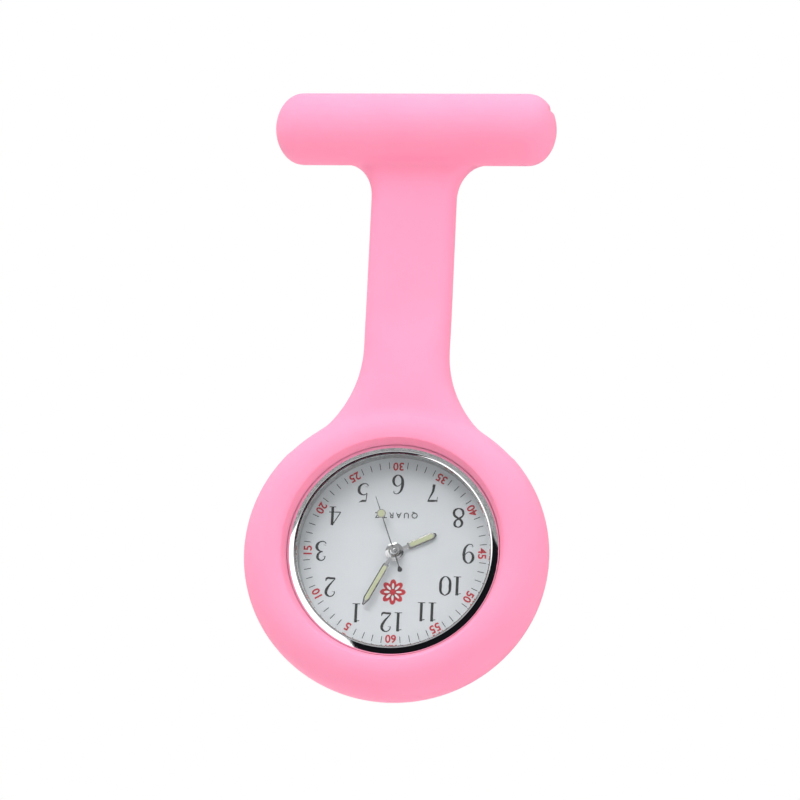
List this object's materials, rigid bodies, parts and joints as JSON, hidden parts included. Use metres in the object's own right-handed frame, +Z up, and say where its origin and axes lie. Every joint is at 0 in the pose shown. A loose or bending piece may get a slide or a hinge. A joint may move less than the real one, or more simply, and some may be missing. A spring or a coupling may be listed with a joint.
{
  "type": "fob watch",
  "caption": "Nurse's fob watch: a round quartz watch head with an upside-down dial, held in a soft silicone sleeve that hangs from a brooch bar.",
  "frame": {"origin": "on the brooch needle's axis, midway along the cross bar", "axes": "+Z up as the watch hangs, along its length; +Y towards the wearer, out of the sleeve's flat back; the dial faces -Y and +X is the viewer's right"},
  "size_m": [0.044, 0.013, 0.0902],
  "materials": {
    "silicone": "soft matte pink silicone, sRGB about 255, 166, 205, smooth with a faint skin",
    "chrome": "polished bright plating",
    "steel": "fine brushed stainless steel",
    "pin_wire": "drawn and polished spring steel",
    "brass": "bright turned brass",
    "gasket_rubber": "black nitrile",
    "crystal_glass": "clear flat mineral glass",
    "dial_paint": "silvery pearl lacquer with black and red printing",
    "hand_metal": "bevelled and polished, with pale green luminous infill",
    "white_plastic": "moulded white acetal",
    "copper": "enamelled copper wire",
    "circuit": "green solder-masked board with a black chip"
  },
  "bodies": {
    "brooch_bar": {"sleeve_brooch_bar": "silicone", "pin_base": "pin_wire", "hinge_rivet": "pin_wire"},
    "needle": {"pin_needle": "pin_wire"},
    "collar": {"catch_collar": "pin_wire"},
    "watch_head": {"sleeve_pocket": "silicone", "case_ring": "chrome", "caseback": "steel", "caseback_gasket": "gasket_rubber", "bezel": "chrome", "crystal": "crystal_glass", "crystal_gasket": "white_plastic", "rehaut_ring": "steel", "dial": "dial_paint", "dial_washer": "brass", "main_plate": "brass", "train_bridge": "steel", "bridge_screw_1": "steel", "bridge_screw_2": "steel", "bridge_screw_3": "steel", "stator": "steel", "coil_core": "steel", "coil_winding": "copper", "quartz_can": "steel", "circuit_board": "circuit", "battery": "steel", "battery_clamp": "steel", "movement_ring": "white_plastic", "crown_tube": "steel"},
    "seconds": {"fourth_wheel": "brass", "second_hand": "hand_metal"},
    "minutes": {"centre_wheel": "brass", "cannon_pinion": "steel", "minute_hand": "hand_metal"},
    "hours": {"hour_wheel": "brass", "hour_hand": "hand_metal"},
    "third": {"third_wheel": "brass"},
    "fifth": {"fifth_wheel": "brass"},
    "rotor": {"step_rotor": "steel"},
    "motion_work": {"minute_wheel": "brass"},
    "lever": {"setting_lever": "steel"},
    "crown_and_stem": {"crown": "chrome", "setting_stem": "steel"}
  },
  "joints": [
    {"name": "strap_bend", "type": "hinge", "parent": "brooch_bar", "child": "watch_head", "pos_m": [0, -0.0049, -0.02], "axis": [-1, 0, 0], "range_deg": [-40, 90], "stiffness_Nm_per_rad": 0.0065},
    {"name": "pin_swing", "type": "hinge", "parent": "brooch_bar", "child": "needle", "pos_m": [-0.015, 0, 0], "axis": [0, 0, 1], "range_deg": [0, 55]},
    {"name": "catch_turn", "type": "hinge", "parent": "brooch_bar", "child": "collar", "pos_m": [0.0143, 0, 0], "axis": [-1, 0, 0], "range_deg": [0, 100]},
    {"name": "seconds_turn", "type": "hinge", "parent": "watch_head", "child": "seconds", "pos_m": [0, -0.0087, -0.063], "axis": [0, 1, 0], "continuous": true},
    {"name": "minutes_turn", "type": "hinge", "parent": "watch_head", "child": "minutes", "pos_m": [0, -0.0083, -0.063], "axis": [0, 1, 0], "continuous": true},
    {"name": "hours_turn", "type": "hinge", "parent": "watch_head", "child": "hours", "pos_m": [0, -0.0079, -0.063], "axis": [0, 1, 0], "continuous": true},
    {"name": "third_wheel_turn", "type": "hinge", "parent": "watch_head", "child": "third", "pos_m": [0.00135, -0.0055, -0.06534], "axis": [0, 1, 0], "continuous": true},
    {"name": "fifth_wheel_turn", "type": "hinge", "parent": "watch_head", "child": "fifth", "pos_m": [0.00165, -0.005, -0.06161], "axis": [0, 1, 0], "continuous": true},
    {"name": "rotor_turn", "type": "hinge", "parent": "watch_head", "child": "rotor", "pos_m": [0.00326, -0.0053, -0.06026], "axis": [0, 1, 0], "continuous": true},
    {"name": "minute_wheel_turn", "type": "hinge", "parent": "watch_head", "child": "motion_work", "pos_m": [-0.0018, -0.00675, -0.06366], "axis": [0, 1, 0], "continuous": true},
    {"name": "crown_pull", "type": "slide", "parent": "watch_head", "child": "lever", "axis": [-1, 0, 0], "range_m": [0, 0.001]},
    {"name": "crown_turn", "type": "hinge", "parent": "lever", "child": "crown_and_stem", "pos_m": [-0.0165, -0.00575, -0.063], "axis": [-1, 0, 0], "continuous": true}
  ],
  "couplings": [
    {"joint": "minutes_turn", "follows": "seconds_turn", "ratio": 0.016667},
    {"joint": "hours_turn", "follows": "seconds_turn", "ratio": 0.0013889},
    {"joint": "third_wheel_turn", "follows": "seconds_turn", "ratio": -0.125},
    {"joint": "fifth_wheel_turn", "follows": "seconds_turn", "ratio": -5},
    {"joint": "rotor_turn", "follows": "seconds_turn", "ratio": 30},
    {"joint": "minute_wheel_turn", "follows": "seconds_turn", "ratio": -0.0055556}
  ]
}
